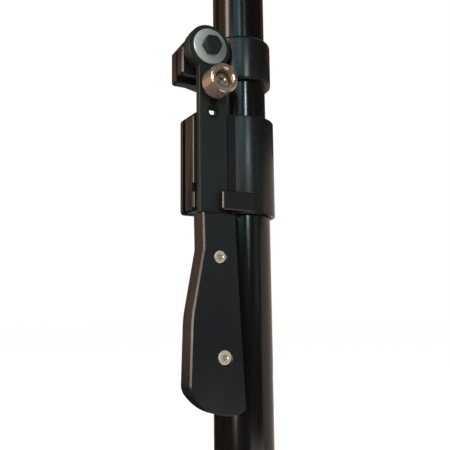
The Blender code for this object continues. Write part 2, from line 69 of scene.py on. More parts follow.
# ---- places read from the frame, in millimetres ----
LOWER, LOWER_HIGH = span("lower_collar")
UPPER, UPPER_HIGH = span("upper_collar")
OUTER, OUTER_HIGH = span("outer_tube")
INNER, INNER_HIGH = span("inner_tube")
LEVER, LEVER_HIGH = span("lever_bar")
WASHER, WASHER_HIGH = span("front_washer")
BOLT, BOLT_HIGH = span("pivot_bolt")
NUT, NUT_HIGH = span("lock_nut")
GRIP, GRIP_HIGH = span("grip_front")
GRIP_BACK, GRIP_BACK_HIGH = span("grip_back")
KNOB, KNOB_HIGH = span("knob_sleeve")
SLIDE_NUT, SLIDE_NUT_HIGH = span("slide_nut")
FOOT_HIGH = span("rubber_foot")[1]
CAP, CAP_HIGH = span("top_cap")
STUD, STUD_HIGH = span("mic_stud")
RING, RING_HIGH = span("stud_lock_ring")

PLAY = 0.3                  # between neighbours that touch or slide
OUTER_R = OUTER_HIGH.x
INNER_R = INNER_HIGH.x
SLIDE_R = INNER_R + PLAY
LOWER_R = LOWER_HIGH.x
UPPER_R = UPPER_HIGH.x
BASE = LOWER.z              # lower collar's bottom face
PIVOT = middle("front_washer")
HEAD_R = half_width("pivot_spacer") + 0.4
KNOB_AT = middle("knob_sleeve")
GRIP_SCREW_HEADS = [half_width("grip_screw_1"), half_width("grip_screw_2")]
GRIP_SCREWS = [middle("grip_screw_1"), middle("grip_screw_2")]
CLAMP_SCREWS = [middle("lower_clamp_screw_1"), middle("lower_clamp_screw_2")]

# ---- shape details that the boxes don't give, in millimetres ----
EAR_ROOT_X = -8.0           # where an ear starts inside its barrel
INSET = 0.2                 # how far the additions stay inside a barrel's end faces
UPPER_SLIT = (-1.0, 1.0)
LOWER_SLIT = (-1.3, 2.3)
SLIT_ROOT_X = -10.0
LOWER_EDGE = 0.9            # rounding of the lower barrel's rims
LOWER_EAR_FRONT = -12.6
LOWER_EAR_BACK = 6.5
LAND_X = (-26.0, -13.2)     # flat beside the lever's pocket
LAND_FRONT = -17.7
LAND_ROOT_Y = -10.0
POCKET_X = -19.3
CATCH_X = -26.0
CATCH_END_X = -2.4
CATCH_BACK = -18.2
CATCH_ROOT_Y = -14.0
CATCH_BOTTOM = 0.8          # heights above the lower collar's bottom face, to RECESS
CATCH_TOP = 12.8
NOTCH = (3.0, 12.9)
RECESS = (1.4, 18.0)
NOTCH_FACET = ((-39.2, -10.8), (-35.0, -10.8))
RECESS_CORNER = (-35.5, -11.0)
CLAMP_BORE_R = 2.3
CLAMP_SEAT_R = 4.6
CLAMP_SEAT_DEPTH = 2.4
SCREW_SOCKET = 3.4          # across the flats
UPPER_LOW_EDGE = 1.2        # roundings of the upper barrel's rims
UPPER_HIGH_EDGE = 2.4
UPPER_BARREL_DROP = 2.8     # from the barrel's lower face down to the back ear's
UPPER_EAR_FRONT = -8.3
UPPER_EAR_BACK = 8.0
SHOULDER = (-37.7, -11.4)   # x where the ears' slope starts, and how far below the top it ends
EAR_EDGE = 1.6              # rounding of the ears' lower corners
SLOPE_EDGE = 2.0
BACK_EAR_END_X = -22.0
BACK_EAR_ROOT_X = -7.0
FLARE = ((-37.0, 8.0), (-9.5, 18.0))    # (x, y) run of the back ear out to the barrel's back
NUT_SEAT = 7.8
NUT_SEAT_R = 9.3
BAR_LEFT = -39.0
BAR_RIGHT = -19.7
KEYHOLE_DROP = 17.0         # from the knob down to the keyhole
KEYHOLE_R = 3.6
KEYHOLE_MOUTH_R = 4.5
SLOT_HALF = 2.8
GROOVE_HALF = 5.0
GROOVE_DEPTH = 2.2
KEYHOLE_SHADE_LINING = 0.1        # how far the dark lining of painted shade stands inside the flare's edge
GRIP_BORE_R = 2.8           # holes for the handle's screws
GRIP_SEAT_DEPTH = 3.1
GRIP_GAP = 0.6              # round each screw's head
SLEEVE_BORE_R = 4.1
TANG = (-36.5, -21.5)
BOLT_R = 3.2
BOLT_HOLE_R = BOLT_R + PLAY
HEX_HEIGHT = 4.2
HEX_FLATS = 11.1
HEX_TURN = 5.0              # degrees
KNOB_RIM = 1.5
KNOB_BORE_R = 5.8
KNOB_SEAT_DEPTH = 8.2
KNOB_HOLE_R = 2.8
TUBE_WALL = 1.3
FOOT_FLOOR = 6.0            # thickness of the rubber under the outer tube
FOOT_EDGE = 2.5
RIB_PITCH = 3.0
RIB_DEPTH = 0.6
STUD_SHANK_R = 3.7
STUD_R = 4.7
RING_BORE_R = 5.1
RING_GROOVES = 40
FAR = 1.0                   # how far a cutter runs past a face


# ---- mesh helpers ----
def make_object(name, mesh_data, smooth_angle=32):
    """Turn a bmesh into a smooth object with sharp creases."""
    bmesh.ops.remove_doubles(mesh_data, verts=mesh_data.verts, dist=1e-6)
    bmesh.ops.recalc_face_normals(mesh_data, faces=mesh_data.faces)
    mesh = bpy.data.meshes.new(name)
    mesh_data.to_mesh(mesh)
    mesh_data.free()
    mesh.shade_smooth()
    mesh.set_sharp_from_angle(angle=math.radians(smooth_angle))
    obj = bpy.data.objects.new(name, mesh)
    bpy.context.scene.collection.objects.link(obj)
    return obj


def turned(name, profile, segments=LARGE, centre=(0.0, 0.0), axis="Z"):
    """Spin an (r, height) outline about Z at (x, y), or about Y at (x, z)."""
    mesh_data = bmesh.new()
    points = [mesh_data.verts.new((r * MM, 0.0, h * MM)) for r, h in profile]
    solid = profile[0][0] == 0 and profile[-1][0] == 0
    pairs = list(zip(points, points[1:]))
    if not solid:
        pairs.append((points[-1], points[0]))
    edges = [mesh_data.edges.new(pair) for pair in pairs]
    bmesh.ops.spin(mesh_data, geom=points + edges, cent=(0, 0, 0), axis=(0, 0, 1),
                   angle=2 * math.pi, steps=segments, use_merge=True)
    if axis == "Y":
        turn = Matrix.Rotation(-math.pi / 2, 4, "X")
        place = Matrix.Translation((centre[0] * MM, 0.0, centre[1] * MM))
    else:
        turn = Matrix.Identity(4)
        place = Matrix.Translation((centre[0] * MM, centre[1] * MM, 0.0))
    bmesh.ops.transform(mesh_data, matrix=place @ turn, verts=mesh_data.verts)
    return make_object(name, mesh_data)


def extrude(mesh_data, face, way):
    """Sweep a face along a vector in metres, to make a closed solid."""
    grown = bmesh.ops.extrude_face_region(mesh_data, geom=[face])
    moved = [item for item in grown["geom"] if isinstance(item, bmesh.types.BMVert)]
    bmesh.ops.translate(mesh_data, verts=moved, vec=way)


def plate(name, outline, front, back, edge=0.0, steps=1):
    """Extrude an (x, z) outline along y, and bevel the rims of both broad faces."""
    mesh_data = bmesh.new()
    corners = [mesh_data.verts.new((x * MM, front * MM, z * MM)) for x, z in outline]
    face = mesh_data.faces.new(corners)
    extrude(mesh_data, face, (0, (back - front) * MM, 0))
    if edge > 0:
        rims = [e for e in mesh_data.edges if abs(e.verts[0].co.y - e.verts[1].co.y) < 1e-7]
        bmesh.ops.bevel(mesh_data, geom=rims, offset=edge * MM, offset_type="OFFSET",
                        segments=steps, profile=0.5, affect="EDGES")
    return make_object(name, mesh_data)


def box(name, low, high, edge=0.0):
    """A block from its lowest to its highest corner."""
    outline = ((low[0], low[2]), (high[0], low[2]), (high[0], high[2]), (low[0], high[2]))
    return plate(name, outline, low[1], high[1], edge)


def slab(name, outline, low, high):
    """Extrude an (x, y) outline from z = low to z = high."""
    mesh_data = bmesh.new()
    corners = [mesh_data.verts.new((x * MM, y * MM, low * MM)) for x, y in outline]
    face = mesh_data.faces.new(corners)
    extrude(mesh_data, face, (0, 0, (high - low) * MM))
    return make_object(name, mesh_data)


def arc(centre, radius, start, end, steps=8):
    """Points on an arc from start to end degrees, both ends included."""
    points = []
    for i in range(steps + 1):
        angle = math.radians(start + (end - start) * i / steps)
        points.append((centre[0] + radius * math.cos(angle),
                       centre[1] + radius * math.sin(angle)))
    return points


def rounded(corners, steps=8):
    """Round each (x, z, radius) corner of a closed outline with an arc."""
    points = []
    for i, (x, z, radius) in enumerate(corners):
        if radius <= 0:
            points.append((x, z))
            continue
        here = Vector((x, z))
        before = Vector(corners[i - 1][:2]) - here
        after = Vector(corners[(i + 1) % len(corners)][:2]) - here
        half = before.angle(after) / 2
        reach = radius / math.tan(half)
        before.normalize()
        after.normalize()
        centre = here + (before + after).normalized() * radius / math.sin(half)
        first = here + before * reach - centre
        last = here + after * reach - centre
        sweep = first.angle_signed(last)
        for step in range(steps + 1):
            turn = Matrix.Rotation(-sweep * step / steps, 2)
            points.append(tuple(centre + turn @ first))
    return points


def combine(obj, tool, operation="DIFFERENCE"):
    """Apply one Boolean at once and throw the tool away."""
    step = obj.modifiers.new("step", "BOOLEAN")
    step.operation = operation
    step.solver = "EXACT"
    step.object = tool
    bpy.context.view_layer.update()
    graph = bpy.context.evaluated_depsgraph_get()
    mesh = bpy.data.meshes.new_from_object(obj.evaluated_get(graph))
    obj.modifiers.clear()
    obj.data = mesh
    mesh.shade_smooth()
    mesh.set_sharp_from_angle(angle=math.radians(32))
    bpy.data.objects.remove(tool)
    return obj


def bore(obj, centre, profile, segments=SMALL):
    """Cut a turned (r, y) outline along Y."""
    return combine(obj, turned("cutter", profile, segments, centre, "Y"))


def hole(radius, front, back, chamfer=0.3):
    """(r, y) outline of a hole from front to back whose two mouths are chamfered."""
    wide = radius + chamfer + FAR
    return ((0, front - FAR), (wide, front - FAR), (radius, front + chamfer),
            (radius, back - chamfer), (wide, back + FAR), (0, back + FAR))


# ---- materials ----
def stretched_noise(tree, stretch, scale, detail):
    """Noise over object coordinates, stretched along the axes that have a small factor."""
    coordinates = tree.nodes.new("ShaderNodeTexCoord")
    mapping = tree.nodes.new("ShaderNodeMapping")
    mapping.inputs["Scale"].default_value = stretch
    noise = tree.nodes.new("ShaderNodeTexNoise")
    noise.inputs["Scale"].default_value = scale
    noise.inputs["Detail"].default_value = detail
    noise.inputs["Roughness"].default_value = 0.55
    tree.links.new(coordinates.outputs["Object"], mapping.inputs["Vector"])
    tree.links.new(mapping.outputs["Vector"], noise.inputs["Vector"])
    return noise.outputs["Fac"]


def ramp(tree, source, dark, light):
    """Map a noise factor to colours between two ends."""
    node = tree.nodes.new("ShaderNodeValToRGB")
    for element, position, colour in zip(node.color_ramp.elements, (0.3, 0.72), (dark, light)):
        element.position = position
        element.color = (*colour, 1.0)
    tree.links.new(source, node.inputs["Fac"])
    return node.outputs["Color"]


def spread(tree, source, low, high):
    """Map a noise factor, which stays near its middle, to a range."""
    node = tree.nodes.new("ShaderNodeMapRange")
    node.inputs["From Min"].default_value = 0.3
    node.inputs["From Max"].default_value = 0.7
    node.inputs["To Min"].default_value = low
    node.inputs["To Max"].default_value = high
    tree.links.new(source, node.inputs["Value"])
    return node.outputs["Result"]


def surface(name, dark, light, rough, metallic, grain, bump, smudge=0.06, painted_shade=None):
    """A worn metal, paint or plastic.

    dark and light are the colour's ends, rough the roughness range, grain the stretch and scale
    of the fine texture, and bump its depth in millimetres. The last argument, if given, is (x at
    the left, x at the right, share of the colour left there): painted shade that darkens the
    colour towards +X.
    """
    made = bpy.data.materials.new(name)
    made.use_nodes = True
    tree = made.node_tree
    shader = tree.nodes["Principled BSDF"]
    shader.inputs["Metallic"].default_value = metallic
    fine = stretched_noise(tree, grain[0], grain[1], 3.0)
    broad = stretched_noise(tree, (1.0, 1.0, 0.5), 45.0, 4.0)
    colour = ramp(tree, fine, dark, light)
    # painted shade: the colour darkens towards +X when asked
    if painted_shade:
        colour = paint_shade_gradient(tree, colour, *painted_shade)
    tree.links.new(colour, shader.inputs["Base Color"])
    total = tree.nodes.new("ShaderNodeMath")
    total.operation = "ADD"
    tree.links.new(spread(tree, fine, rough[0], rough[1]), total.inputs[0])
    tree.links.new(spread(tree, broad, -smudge, smudge), total.inputs[1])
    tree.links.new(total.outputs["Value"], shader.inputs["Roughness"])
    relief = tree.nodes.new("ShaderNodeBump")
    relief.inputs["Strength"].default_value = 0.5
    relief.inputs["Distance"].default_value = bump * MM
    tree.links.new(fine, relief.inputs["Height"])
    tree.links.new(relief.outputs["Normal"], shader.inputs["Normal"])
    return made


def paint_shade_gradient(tree, colour, left, right, share):
    """Painted shade: darken a colour from x = left to x = right, down to the given share."""
    coordinates = tree.nodes.new("ShaderNodeTexCoord")
    parts = tree.nodes.new("ShaderNodeSeparateXYZ")
    tree.links.new(coordinates.outputs["Object"], parts.inputs["Vector"])
    level = tree.nodes.new("ShaderNodeMapRange")
    level.inputs["From Min"].default_value = left * MM
    level.inputs["From Max"].default_value = right * MM
    level.inputs["To Min"].default_value = 1.0
    level.inputs["To Max"].default_value = share
    tree.links.new(parts.outputs["X"], level.inputs["Value"])
    scaled = tree.nodes.new("ShaderNodeVectorMath")
    scaled.operation = "SCALE"
    tree.links.new(colour, scaled.inputs["Vector"])
    tree.links.new(level.outputs["Result"], scaled.inputs["Scale"])
    return scaled.outputs["Vector"]


# Grains: (stretch along x, y and z, scale).
LENGTHWISE = ((1.0, 1.0, 0.012), 1900.0)
POWDER = ((1.0, 1.0, 1.0), 2600.0)
TURNED = ((0.4, 1.0, 0.4), 1500.0)


def make_materials():
    """Every material by its short name."""
    return {
        "tube": surface("anodised_tube", (0.0012, 0.0012, 0.0013), (0.005, 0.0046, 0.004),
                        (0.14, 0.22), 0.0, LENGTHWISE, 0.003, smudge=0.02),
        "collar": surface("satin_collar", (0.0028, 0.003, 0.0032), (0.006, 0.0064, 0.0068),
                          (0.26, 0.33), 0.0, POWDER, 0.003),
        "lever": surface("satin_lever", (0.0044, 0.0066, 0.0066), (0.0078, 0.0112, 0.0112),
                         (0.36, 0.44), 0.0, POWDER, 0.006),
        "grip": surface("grip_enamel", (0.0038, 0.0046, 0.0054), (0.0068, 0.008, 0.009),
                        (0.28, 0.38), 0.0, POWDER, 0.006),
        # the zinc's colour carries painted shade, darker towards +X across the pivot's washers and
        # nut
        "zinc": surface("zinc_plate", (0.46, 0.52, 0.49), (0.6, 0.66, 0.62),
                        (0.3, 0.4), 0.7, POWDER, 0.006,
                        painted_shade=(WASHER.x + 2.0, WASHER_HIGH.x, 0.42)),
        "stainless": surface("turned_stainless", (0.42, 0.38, 0.32), (0.56, 0.52, 0.44),
                             (0.26, 0.36), 0.6, TURNED, 0.006),
        "knob": surface("brushed_nickel", (0.46, 0.36, 0.27), (0.53, 0.43, 0.33),
                        (0.16, 0.2), 0.86, TURNED, 0.0005, smudge=0.01),
        # near-black lining that paints the shade inside the keyhole
        "keyhole": surface("keyhole_painted_shade", (0.0006, 0.0006, 0.0006), (0.0012, 0.0011, 0.001),
                           (0.75, 0.85), 0.0, POWDER, 0.004),
        "dark_steel": surface("blackened_steel", (0.012, 0.013, 0.013), (0.03, 0.032, 0.032),
                              (0.34, 0.46), 0.6, POWDER, 0.006),
        "rubber": surface("foot_rubber", (0.006, 0.006, 0.006), (0.014, 0.0135, 0.013),
                          (0.7, 0.85), 0.0, POWDER, 0.02),
        "nylon": surface("bush_nylon", (0.012, 0.012, 0.0125), (0.022, 0.022, 0.023),
                         (0.45, 0.55), 0.0, POWDER, 0.01),
        "aluminium": surface("machined_aluminium", (0.42, 0.42, 0.44), (0.6, 0.6, 0.62),
                             (0.25, 0.35), 1.0, TURNED, 0.006),
    }


MATERIALS = make_materials()


def finish_piece(obj, body, look, slot, *nodes):
    """Give a piece its material and its body, and hide the CAD nodes that it stands for; slot is
    not used.
    """
    obj.data.materials.clear()
    obj.data.materials.append(MATERIALS[look])
    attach(obj, body)
    if nodes:
        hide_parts(*nodes)
    return obj


# ---- pieces of the outer pole ----
def tube(name, radius, wall, low, high, lip=0.35):
    """A tube whose end rims are rounded."""
    inner = radius - wall
    profile = [(inner, low + lip), (inner + lip, low)]
    profile += arc((radius - lip, low + lip), lip, -90, 0, 4)
    profile += arc((radius - lip, high - lip), lip, 0, 90, 4)
    profile += [(inner + lip, high), (inner, high - lip)]
    return turned(name, profile)


def make_outer_pole():
    """Outer tube and ribbed rubber foot."""
    outer = tube("outer_tube_skin", OUTER_R, OUTER_R - SLIDE_R, OUTER.z, OUTER_HIGH.z)
    finish_piece(outer, "outer_pole", "tube", "anodised", "outer_tube")
    radius = FOOT_HIGH.x
    top = FOOT_HIGH.z
    profile = [(0, 0)] + arc((radius - FOOT_EDGE, FOOT_EDGE), FOOT_EDGE, -90, 0)
    rib = 2 * FOOT_EDGE
    while rib < top - 2 * RIB_PITCH:
        profile += [(radius, rib), (radius - RIB_DEPTH, rib + 0.4),
                    (radius - RIB_DEPTH, rib + 1.2), (radius, rib + 1.6)]
        rib += RIB_PITCH
    edge = 1.4
    bore_r = OUTER_R + PLAY
    profile += arc((radius - edge, top - edge), edge, 0, 90)
    profile += [(bore_r, top), (bore_r, FOOT_FLOOR), (0, FOOT_FLOOR)]
    finish_piece(turned("foot_cup", profile), "outer_pole", "rubber", "rubber", "rubber_foot")


def make_lower_collar():
    """Barrel with split ears, lever pocket and catch."""
    low = BASE
    high = LOWER_HIGH.z
    edge = LOWER_EDGE
    profile = [(0, low)] + arc((LOWER_R - edge, low + edge), edge, -90, 0, 5)
    profile += arc((LOWER_R - edge, high - edge), edge, 0, 90, 5) + [(0, high)]
    collar = turned("lower_collar_body", profile)
    bottom = low + INSET
    top = high - INSET
    ears = rounded(((EAR_ROOT_X, bottom, 0), (EAR_ROOT_X, top, 0), (LOWER.x, top, 3.5),
                    (LOWER.x, bottom, 2.5)))
    combine(collar, plate("ears", ears, LOWER_EAR_FRONT, LOWER_EAR_BACK, 0.5), "UNION")
    combine(collar, box("land", (LAND_X[0], LAND_FRONT, bottom), (LAND_X[1], LAND_ROOT_Y, top)),
            "UNION")
    outside = -30.0
    pocket = ((outside, outside), (POCKET_X - 0.5, outside), (POCKET_X + 0.5, LAND_FRONT - 0.5),
              (POCKET_X, LAND_FRONT + 0.5), (POCKET_X, LOWER_EAR_FRONT),
              (outside, LOWER_EAR_FRONT))
    combine(collar, slab("pocket", pocket, low - 5.0, high + 5.0))
    catch_low = low + CATCH_BOTTOM
    catch_high = low + CATCH_TOP
    catch = rounded(((CATCH_X, catch_low, 1.2), (CATCH_END_X, catch_low, 0),
                     (CATCH_END_X, catch_high, 0), (CATCH_X, catch_high, 1.2)), 4)
    combine(collar, plate("catch", catch, LOWER.y, CATCH_BACK, 0.7), "UNION")
    combine(collar, box("catch_root", (POCKET_X + 0.5, LOWER.y + 0.9, catch_low + INSET),
                        (CATCH_END_X - INSET, CATCH_ROOT_Y, catch_high - INSET)), "UNION")
    bore_r = OUTER_R + PLAY
    combine(collar, turned("mouth", ((0, low - FAR), (bore_r + 1.5, low - FAR),
                                     (bore_r, low + 0.5), (bore_r, high - 0.5),
                                     (bore_r + 1.5, high + FAR), (0, high + FAR))))
    outside = -50.0
    combine(collar, box("slit", (outside, LOWER_SLIT[0], low - 5.0),
                        (SLIT_ROOT_X, LOWER_SLIT[1], high + 5.0)))
    facet = ((outside, -20.0), (outside, -7.6), (LOWER.x, -7.6)) + NOTCH_FACET
    facet += ((NOTCH_FACET[1][0], -20.0),)
    combine(collar, slab("notch", facet, low + NOTCH[0], low + NOTCH[1]))
    combine(collar, box("recess", (outside, -20.0, low + RECESS[0]),
                        (*RECESS_CORNER, low + RECESS[1])))
    seat = LOWER_EAR_BACK - CLAMP_SEAT_DEPTH
    for centre in CLAMP_SCREWS:
        bore(collar, centre, ((0, LOWER_EAR_FRONT - FAR), (CLAMP_BORE_R, LOWER_EAR_FRONT - FAR),
                              (CLAMP_BORE_R, seat), (CLAMP_SEAT_R, seat),
                              (CLAMP_SEAT_R, LOWER_EAR_BACK - 0.3),
                              (CLAMP_SEAT_R + 1.3, LOWER_EAR_BACK + FAR),
                              (0, LOWER_EAR_BACK + FAR)))
    finish_piece(collar, "outer_pole", "collar", "satin_black", "lower_collar")


def make_screw(name, node, shank_r, head_r, head_height, body, look, slot, out=-1.0):
    """Socket-head screw at a CAD screw's place, its head towards -Y, or +Y with out = 1."""
    low, high = span(node)
    face, tip = (low.y, high.y) if out < 0 else (high.y, low.y)
    centre = middle(node)
    neck = face - out * head_height
    edge = 0.45
    profile = [(0, tip), (shank_r - 0.4, tip), (shank_r, tip + out * 0.5), (shank_r, neck),
               (head_r - 0.2, neck), (head_r, neck + out * 0.2)]
    profile += [(r, face - out * (edge - rise))
                for r, rise in arc((head_r - edge, 0.0), edge, 0, 90, 4)]
    profile.append((0, face))
    screw = turned(name, profile, SMALL, centre, "Y")
    corner_r = SCREW_SOCKET / math.sqrt(3)
    front, back = sorted((face - out * head_height * 0.6, face + out * FAR))
    combine(screw, plate("socket", arc(centre, corner_r, 30, 330, 5), front, back))
    cone_r = corner_r * 0.9
    combine(screw, turned("cone", ((0, face - out * 0.35), (cone_r, face - out * 0.35),
                                   (cone_r + 1.3, face + out * FAR), (0, face + out * FAR)),
                          SMALL, centre, "Y"))
    return finish_piece(screw, body, look, slot, node)


# ---- pieces of the upper clamp ----
def make_upper_collar():
    """Split clamp with sloping ears, the back one longer."""
    drop = UPPER.z
    low = drop + UPPER_BARREL_DROP
    high = UPPER_HIGH.z
    low_edge = UPPER_LOW_EDGE
    high_edge = UPPER_HIGH_EDGE
    profile = [(0, low)] + arc((UPPER_R - low_edge, low + low_edge), low_edge, -90, 0, 6)
    profile += arc((UPPER_R - high_edge, high - high_edge), high_edge, 0, 90) + [(0, high)]
    collar = turned("upper_collar_body", profile)
    bottom = low + INSET
    top = high - 0.3
    root_and_slope = [(EAR_ROOT_X, bottom, 0), (EAR_ROOT_X, top, 0),
                      (SHOULDER[0], top, SLOPE_EDGE), (UPPER.x, high + SHOULDER[1], SLOPE_EDGE)]
    front = rounded(root_and_slope + [(UPPER.x, bottom, EAR_EDGE)], 4)
    combine(collar, plate("front_ear", front, UPPER_EAR_FRONT, 0.5, 0.9), "UNION")
    back = rounded(root_and_slope + [(UPPER.x, drop, EAR_EDGE), (BACK_EAR_END_X, drop, 0),
                                     (BACK_EAR_END_X, bottom, 0)], 4)
    flare_back = FLARE[1][1]
    ear = plate("back_ear", back, -0.37, flare_back + 2.0)
    plan = ((BACK_EAR_ROOT_X, flare_back), (BACK_EAR_ROOT_X, -1.0), (-60.0, -1.0),
            (-60.0, UPPER_EAR_BACK)) + FLARE
    combine(ear, slab("plan", plan, drop - 5.0, high + 5.0), "INTERSECT")
    combine(collar, ear, "UNION")
    combine(collar, turned("mouth", ((0, drop - FAR), (SLIDE_R, drop - FAR),
                                     (SLIDE_R, high - 0.6), (SLIDE_R + 1.6, high + FAR),
                                     (0, high + FAR))))
    combine(collar, box("slit", (-60.0, UPPER_SLIT[0], drop - 5.0),
                        (SLIT_ROOT_X, UPPER_SLIT[1], high + 5.0)))
    relief = half_width("pivot_spacer") + PLAY
    outside = 25.0
    bore(collar, PIVOT, ((0, outside), (NUT_SEAT_R, outside), (NUT_SEAT_R, NUT_SEAT),
                         (BOLT_HOLE_R, NUT_SEAT), (BOLT_HOLE_R, UPPER_EAR_FRONT),
                         (relief, UPPER_EAR_FRONT), (relief, -outside), (0, -outside)))
    finish_piece(collar, "upper_clamp", "collar", "satin_black", "upper_collar")


def ring(name, node, bore_r, edge, body, look, slot, segments=LARGE):
    """A washer or spacer along Y with rounded rims."""
    low, high = span(node)
    radius = half_width(node)
    profile = [(bore_r, low.y)] + arc((radius - edge, low.y + edge), edge, -90, 0, 4)
    profile += arc((radius - edge, high.y - edge), edge, 0, 90, 4) + [(bore_r, high.y)]
    return finish_piece(turned(name, profile, segments, middle(node), "Y"), body, look, slot,
                        node)


def hexagon(name, low, high, round_back):
    """Hexagonal prism along Y, its corners turned off at the front and, if asked, at the back."""
    corner_r = HEX_FLATS / math.sqrt(3)
    prism = plate(name, arc(PIVOT, corner_r, HEX_TURN, HEX_TURN + 300, 5), low, high, 0.12, 2)
    drop = 0.7
    wide = corner_r + 0.3
    narrow = corner_r - 1.1
    trim = [(0, low), (narrow, low), (wide, low + drop)]
    if round_back:
        trim += [(wide, high - drop), (narrow, high), (0, high)]
    else:
        trim += [(wide, high + FAR), (0, high + FAR)]
    return combine(prism, turned("trim", trim, SMALL, PIVOT, "Y"), "INTERSECT")


def threads(radius, start, end, pitch, depth):
    """(r, height) outline of a threaded stretch, as rings."""
    points = []
    for turn in range(int((end - start) / pitch)):
        base = start + turn * pitch
        points += [(radius - depth, base + pitch * 0.1), (radius, base + pitch * 0.45),
                   (radius, base + pitch * 0.6), (radius - depth, base + pitch * 0.95)]
    return points


def make_pivot():
    """Bolt, washers, spacer and nut."""
    head_back = BOLT.y + HEX_HEIGHT
    bolt = hexagon("pivot_bolt_head", BOLT.y, head_back, False)
    dish = ((0, BOLT.y - FAR), (4.3, BOLT.y - FAR), (3.8, BOLT.y + 0.25), (0, BOLT.y + 0.35))
    combine(bolt, turned("dish", dish, SMALL, PIVOT, "Y"))
    finish_piece(bolt, "upper_clamp", "dark_steel", "dark_steel", "pivot_bolt")
    shank = [(0, head_back - 1.0), (BOLT_R, head_back - 1.0), (BOLT_R, NUT.y)]
    shank += threads(BOLT_R, NUT.y, BOLT_HIGH.y - 0.6, 1.25, 0.6)
    shank += [(BOLT_R - 0.8, BOLT_HIGH.y), (0, BOLT_HIGH.y)]
    finish_piece(turned("pivot_bolt_shank", shank, SMALL, PIVOT, "Y"), "upper_clamp",
                 "dark_steel", "dark_steel", "pivot_bolt")
    nut = hexagon("pivot_nut", NUT.y, NUT_HIGH.y, True)
    bore(nut, PIVOT, hole(BOLT_R + 0.2, NUT.y, NUT_HIGH.y, 0.5))
    finish_piece(nut, "upper_clamp", "zinc", "zinc", "lock_nut")
    ring("pivot_washer", "front_washer", BOLT_HOLE_R, 0.4, "upper_clamp", "zinc", "zinc")
    ring("nut_washer", "back_washer", BOLT_HOLE_R, 0.3, "upper_clamp", "zinc", "zinc")
    ring("spacer_boss", "pivot_spacer", BOLT_HOLE_R, 0.5, "upper_clamp", "collar",
         "satin_black")


# ---- pieces of the inner pole ----
def make_inner_pole():
    """Inner tube and the fittings at its upper end."""
    inner = tube("inner_tube_skin", INNER_R, TUBE_WALL, INNER.z, INNER_HIGH.z)
    finish_piece(inner, "inner_pole", "tube", "anodised", "inner_tube")
    spigot = INNER_R - TUBE_WALL - PLAY
    top = INNER_HIGH.z
    edge = 1.6
    stud_hole = STUD_SHANK_R + PLAY
    profile = [(0, CAP.z), (spigot - 0.6, CAP.z), (spigot, CAP.z + 0.6), (spigot, top + 0.3),
               (INNER_R - 0.3, top + 0.3), (INNER_R, top + 0.6)]
    profile += arc((INNER_R - edge, CAP_HIGH.z - edge), edge, 0, 90, 6)
    profile += [(stud_hole + 0.3, CAP_HIGH.z), (stud_hole, CAP_HIGH.z - 0.3), (stud_hole, top),
                (0, top)]
    finish_piece(turned("cap_body", profile), "inner_pole", "collar", "satin_black", "top_cap")
    thread_start = top + 5.0
    stud = [(0, STUD.z), (STUD_SHANK_R, STUD.z), (STUD_SHANK_R, thread_start)]
    stud += threads(STUD_R, thread_start, STUD_HIGH.z - 0.8, 1.27, 0.7)
    stud += [(STUD_SHANK_R, STUD_HIGH.z), (0, STUD_HIGH.z)]
    finish_piece(turned("stud_body", stud, SMALL), "inner_pole", "stainless", "stainless",
                 "mic_stud")
    make_lock_ring()


def make_lock_ring():
    """Knurled ring under the stud."""
    radius = RING_HIGH.x
    low = RING.z
    high = RING_HIGH.z
    outline = []
    for i in range(RING_GROOVES):
        for part, drop in ((0.0, 0.0), (0.35, 0.0), (0.5, 0.45), (0.85, 0.45)):
            angle = 2 * math.pi * (i + part) / RING_GROOVES
            outline.append((math.cos(angle) * (radius - drop), math.sin(angle) * (radius - drop)))
    disc = slab("ring_body", outline, low, high)
    edge = 0.6
    wide = radius + 0.2
    trim = ((0, low), (radius - edge, low), (wide, low + edge), (wide, high - edge),
            (radius - edge, high), (0, high))
    combine(disc, turned("trim", trim, SMALL), "INTERSECT")
    hollow = ((0, low - FAR), (RING_BORE_R, low - FAR), (RING_BORE_R, high + FAR),
              (0, high + FAR))
    combine(disc, turned("hollow", hollow, SMALL))
    finish_piece(disc, "inner_pole", "aluminium", "aluminium", "stud_lock_ring")


# ---- pieces of the lever ----
def make_lever_bar():
    """Round head, bar with its keyhole slot, and the tang in the handle."""
    front = LEVER.y
    back = LEVER_HIGH.y
    right = math.degrees(math.acos((BAR_RIGHT - PIVOT[0]) / HEAD_R))
    left = math.degrees(math.acos((BAR_LEFT - PIVOT[0]) / HEAD_R))
    shoulder = GRIP_HIGH.z + 0.5
    outline = arc(PIVOT, HEAD_R, -right, 360.0 - left, 90)
    outline += [(BAR_LEFT, shoulder), (TANG[0], shoulder), (TANG[0], LEVER.z),
                (TANG[1], LEVER.z), (TANG[1], shoulder), (BAR_RIGHT, shoulder)]
    bar = plate("lever_body", outline, front, back, 0.15)
    bore(bar, PIVOT, hole(BOLT_HOLE_R, front, back))
    x, z = KNOB_AT
    keyhole = z - KEYHOLE_DROP
    slot = [(x - SLOT_HALF, keyhole), (x + SLOT_HALF, keyhole)]
    slot += arc((x, z + SLOT_HALF), SLOT_HALF, 0, 180, 16)
    combine(bar, plate("slot", slot, front - FAR, back + FAR))
    flare = KEYHOLE_MOUTH_R - KEYHOLE_R
    bore(bar, (x, keyhole), ((0, front - FAR), (KEYHOLE_MOUTH_R + FAR, front - FAR),
                             (KEYHOLE_R, front + flare), (KEYHOLE_R, back + FAR),
                             (0, back + FAR)))
    groove_low = SLIDE_NUT.z - KEYHOLE_DROP - 0.6
    combine(bar, box("groove", (x - GROOVE_HALF, back - GROOVE_DEPTH, groove_low),
                     (x + GROOVE_HALF, back + FAR, SLIDE_NUT_HIGH.z + 1.7)))
    for centre in GRIP_SCREWS:
        bore(bar, centre, ((0, front - FAR), (GRIP_BORE_R, front - FAR),
                           (GRIP_BORE_R, back + FAR), (0, back + FAR)))
    finish_piece(bar, "lever", "lever", "satin_black", "lever_bar")
    make_keyhole_shade_lining(x, keyhole)


